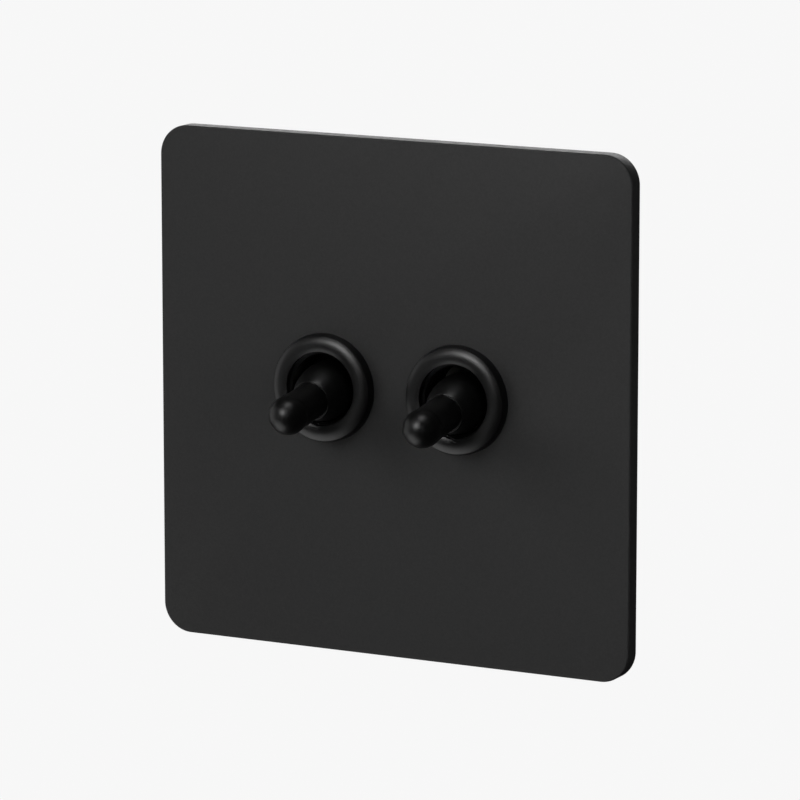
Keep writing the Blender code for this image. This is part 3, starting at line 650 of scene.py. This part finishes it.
def mounting_frame():
    body = slab("yoke", FRAME_LOW, FRAME_HIGH, FRAME_CORNER, 0.12 * MM, 0.12 * MM)
    front, back = FRAME_LOW[1] - OVERRUN, FRAME_HIGH[1] + OVERRUN
    cut(body, *neck_holes(front, back))
    for side in GANGS:
        x, z = centre_line("fixing_screw_" + side)
        sink = lathe("sink", [
            (0, OVERRUN), (3.4 * MM + OVERRUN, OVERRUN), (2.05 * MM, -1.35 * MM),
            (2.05 * MM, front - back), (0, front - back),
        ], SMALL_ROUND, facing(x, FRAME_LOW[1], z))
        cut(body, sink)
    z = middle("earth_terminal", 2)
    cut(body, bar("rivet_hole", 1.8 * MM, (0, front, z), (0, back, z)))
    finish(body, "mounting_frame", FRAME_ZINC)


def slot_tool(x, y, z, half_length, width, depth, back):
    """A straight driver slot in a head whose outer face is at y."""
    near, far = (y - depth, y + OVERRUN) if back else (y - OVERRUN, y + depth)
    return block("slot", (x - half_length, near, z - width / 2), (x + half_length, far, z + width / 2))


def fixing_screw(side):
    """A countersunk machine screw with a rolled thread and a straight slot."""
    node = "fixing_screw_" + side
    low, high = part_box(node)
    x, z = centre_line(node)
    head, shaft, length = (high[2] - low[2]) / 2, FIXING_SCREW_SHAFT, high[1] - low[1]
    pitch = 0.6 * MM
    top, bottom = -2.4 * MM, -length + 0.5 * MM
    rings = [(0, 0), (head - 0.08 * MM, 0), (head, -0.08 * MM), (head, -0.14 * MM), (shaft, -1.45 * MM)]
    count = round((top - bottom) / pitch * 6)
    rings += [(shaft, top + (bottom - top) * step / count) for step in range(count + 1)]
    rings += [(shaft * 0.62, -length), (0, -length)]
    thread = (top, bottom, 0.32 * MM, pitch)
    body = lathe(node + "_screw", rings, SMALL_ROUND, facing(x, low[1], z), thread=thread)
    cut(body, slot_tool(x, low[1], z, head + OVERRUN, 0.9 * MM, 0.6 * MM, False))
    finish(body, node, SCREW_ZINC)


def cheese_screw(node, head_thickness, shaft):
    """A slotted screw seen from behind, with a softly rounded cheese head."""
    low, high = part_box(node)
    x, z = centre_line(node)
    head = (high[0] - low[0]) / 2
    length = high[1] - low[1]
    pitch = 0.45 * MM
    top, bottom = -head_thickness - 0.3 * MM, -length + 0.2 * MM
    count = round((top - bottom) / pitch * 6)
    rings = filleted([
        (0, 0, 0), (head, 0, 0.25 * MM), (head, -head_thickness, 0.06 * MM), (shaft, -head_thickness, 0)
    ])
    rings += [(shaft, top + (bottom - top) * step / count) for step in range(count + 1)]
    rings += [(shaft * 0.8, -length), (0, -length)]
    thread = (top, bottom, 0.2 * MM, pitch)
    body = lathe(node + "_piece", rings, SMALL_ROUND, facing_back(x, high[1], z), thread=thread)
    cut(body, slot_tool(x, high[1], z, head + OVERRUN, 0.55 * MM, 0.55 * MM, True))
    finish(body, node, SCREW_ZINC)


def earth_terminal():
    node = "earth_terminal"
    low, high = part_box(node)
    front = FRAME_HIGH[1] + PART_GAP
    z = middle(node, 2)
    body = block("earth_block", (low[0], front, low[2]), high, 0.3 * MM)
    join(body, bar("rivet", 1.5 * MM, (0, low[1], z), (0, front + OVERRUN, z)))
    depth = 3.4 * MM
    below, above = (0, depth, low[2] - OVERRUN), (0, depth, high[2] + OVERRUN)
    wire_bore = bar("wire_bore", 1.6 * MM, below, above, flare=0.2 * MM)
    screw_hole = bar("screw_hole", 1.65 * MM, (0, depth, z), (0, high[1] + OVERRUN, z))
    cut(body, wire_bore, screw_hole)
    finish(body, node, BRASS)


def housing(gang):
    """The moulded case, with its shelf, wire entries and screw posts."""
    node = gang + "_housing"
    low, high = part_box(node)
    x, z = gang_axis(gang)
    body = slab(gang + "_case", low, high, CASE_CORNER, EDGE_BREAK, EDGE_BREAK)
    half_width, half_height = (high[0] - low[0]) / 2 - CASE_WALL, (high[2] - low[2]) / 2 - CASE_WALL
    chambers = (
        (half_width, half_height, low[1] - OVERRUN, 8.4 * MM),
        (half_width, half_height, 9.7 * MM, high[1] + OVERRUN),
        (3.2 * MM, 4.3 * MM, 8.0 * MM, 10.0 * MM),
    )
    for width, height, front, back in chambers:
        cut(body, block("chamber", (x - width, front, z - height), (x + width, back, z + height)))
    wire, inward = WIRE_ENTRY_DEPTH, 1.6 * MM
    side = GANGS[gang]
    outer = x + side * (half_width + CASE_WALL)
    tools = [bar("entry", WIRE_ENTRY, (outer - side * inward, wire, z), (outer + side * OVERRUN, wire, z))]
    for sign in (1, -1):
        edge = z + sign * (half_height + CASE_WALL)
        start, end = (x, wire, edge - sign * inward), (x, wire, edge + sign * OVERRUN)
        tools.append(bar("entry", WIRE_ENTRY, start, end))
    cut(body, *tools)
    for end in ("upper", "lower"):
        px, pz = centre_line(gang + "_housing_screw_" + end)
        join(body, bar("post", 1.9 * MM, (px, low[1] + 0.1 * MM, pz), (px, high[1] - 0.1 * MM, pz)))
        cut(body, bar("post_hole", POST_HOLE, (px, low[1] - OVERRUN, pz), (px, high[1] + OVERRUN, pz)))
    finish(body, node, RESIN)


def rear_cover(gang):
    """The case's cover, with a tube over each terminal screw."""
    node = gang + "_rear_cover"
    low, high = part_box(node)
    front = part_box(gang + "_housing")[1][1] + PART_GAP
    body = slab(gang + "_case_cover", (low[0], front, low[2]), high, CASE_CORNER, EDGE_BREAK, 0.35 * MM)
    for terminal in ("com", "l1", "l2"):
        px, pz = centre_line(gang + "_" + terminal + "_screw")
        join(body, bar("tube", 2.9 * MM, (px, low[1], pz), (px, front + OVERRUN, pz)))
        start, end = (px, low[1] - OVERRUN, pz), (px, high[1] + OVERRUN, pz)
        cut(body, bar("driver_hole", 2.3 * MM, start, end, flare=0.25 * MM))
    for end in ("upper", "lower"):
        px, pz = centre_line(gang + "_housing_screw_" + end)
        cut(body, bar("screw_hole", POST_HOLE, (px, front - OVERRUN, pz), (px, high[1] + OVERRUN, pz)))
    finish(body, node, RESIN)


def inner_nodes():
    """The works that stay as they are in the CAD model, each in its own finish."""
    names = ["pivot_pin", "plunger", "rocker", "com_terminal", "l1_terminal", "l2_terminal"]
    for gang in GANGS:
        for name in names:
            node = frame["nodes"][gang + "_" + name]
            node.data.materials.clear()
            node.data.materials.append(FINISHES[SLOT_OF[gang + "_" + name]])


front_plate()
mounting_frame()
earth_terminal()
cheese_screw("earth_screw", TERMINAL_SCREW_HEAD, TERMINAL_SCREW_SHAFT)
for gang in GANGS:
    collar(gang)
    bushing(gang)
    lever(gang)
    spring(gang)
    fixing_screw(gang)
    housing(gang)
    rear_cover(gang)
    for terminal in ("com", "l1", "l2"):
        cheese_screw(gang + "_" + terminal + "_screw", TERMINAL_SCREW_HEAD, TERMINAL_SCREW_SHAFT)
    for end in ("upper", "lower"):
        cheese_screw(gang + "_housing_screw_" + end, SMALL_SCREW_HEAD, SMALL_SCREW_SHAFT)
inner_nodes()


# ---------------------------------------------------------------- floor, light and camera

def direction(azimuth, elevation):
    """Towards the viewer: azimuth 0 is straight in front of the plate, positive to its right."""
    turn, rise = math.radians(azimuth), math.radians(elevation)
    return Vector((
        math.sin(turn) * math.cos(rise), -math.cos(turn) * math.cos(rise), math.sin(rise)
    ))


def floor():
    """A pale floor, walls and ceiling, seen by the camera alone: they neither light nor shade."""
    shape = bmesh.new()
    bmesh.ops.create_cube(shape, size=2 * ROOM)
    room = mesh_piece("floor", shape, Matrix.Translation((0, 0, PLATE_LOW[2] - FLOOR_DROP + ROOM)))
    look = Finish("pale_floor", Roughness=0.9)
    look.shader.inputs["Base Color"].default_value = (0.01, 0.01, 0.01, 1.0)
    look.shader.inputs["Specular IOR Level"].default_value = 0.0
    look.shader.inputs["Emission Color"].default_value = (1.0, 1.0, 1.0, 1.0)
    look.shader.inputs["Emission Strength"].default_value = FLOOR_GLOW
    room.data.materials.append(look.material)
    room.visible_glossy = False
    room.visible_diffuse = False
    room.visible_shadow = False


def soft_light(name, azimuth, elevation, distance, size, power, seen="both", aim=(0, 0, 0), spread=180):
    """A square soft box, at angles from the plate's centre. It shows in gloss, in diffuse, or in both."""
    data = bpy.data.lights.new(name, "AREA")
    data.shape = "SQUARE"
    data.size = size
    data.energy = power
    data.spread = math.radians(spread)
    lamp = bpy.data.objects.new(name, data)
    bpy.context.scene.collection.objects.link(lamp)
    lamp.location = direction(azimuth, elevation) * distance
    lamp.rotation_euler = (Vector(aim) - lamp.location).to_track_quat("-Z", "Y").to_euler()
    lamp.visible_glossy = seen != "diffuse"
    lamp.visible_diffuse = seen != "glossy"


def world(strength):
    scene_world = bpy.data.worlds.new("studio")
    bpy.context.scene.world = scene_world
    scene_world.use_nodes = True
    background = scene_world.node_tree.nodes["Background"]
    background.inputs["Color"].default_value = (1.0, 1.0, 1.0, 1.0)
    background.inputs["Strength"].default_value = strength


def camera():
    """A long lens from the right of the plate and a little above it."""
    back = direction(CAMERA_AZIMUTH, CAMERA_ELEVATION)
    data = bpy.data.cameras.new("camera")
    data.lens = CAMERA_LENS
    data.sensor_width = 36.0
    lens = bpy.data.objects.new("camera", data)
    bpy.context.scene.collection.objects.link(lens)
    lens.location = Vector(CAMERA_TARGET) + back * CAMERA_DISTANCE
    lens.rotation_euler = (-back).to_track_quat("-Z", "Y").to_euler()
    bpy.context.scene.camera = lens


bpy.context.scene.view_settings.view_transform = "Standard"
floor()
world(WORLD_GLOW)
soft_light("key", -10, 26, 0.6, 0.20, 0.32, seen="glossy", aim=(0.06, 0, 0.09), spread=70)
soft_light("top", 14, 72, 0.6, 0.25, 0.85, seen="glossy")
soft_light("left", -78, 0, 0.8, 0.7, 1.2, seen="glossy")
soft_light("low", -52, -48, 0.7, 0.6, 1.8, seen="glossy")
soft_light("fill", -58, 22, 1.6, 1.0, 30.0, seen="diffuse", aim=(0.04, 0, 0.03))
soft_light("accent", 50, 5, 0.18, 0.12, 0.15, seen="diffuse")
soft_light("rim", -130, 12, 0.6, 0.35, 1.0)
soft_light("back", -165, 35, 0.7, 0.5, 3.0)
camera()
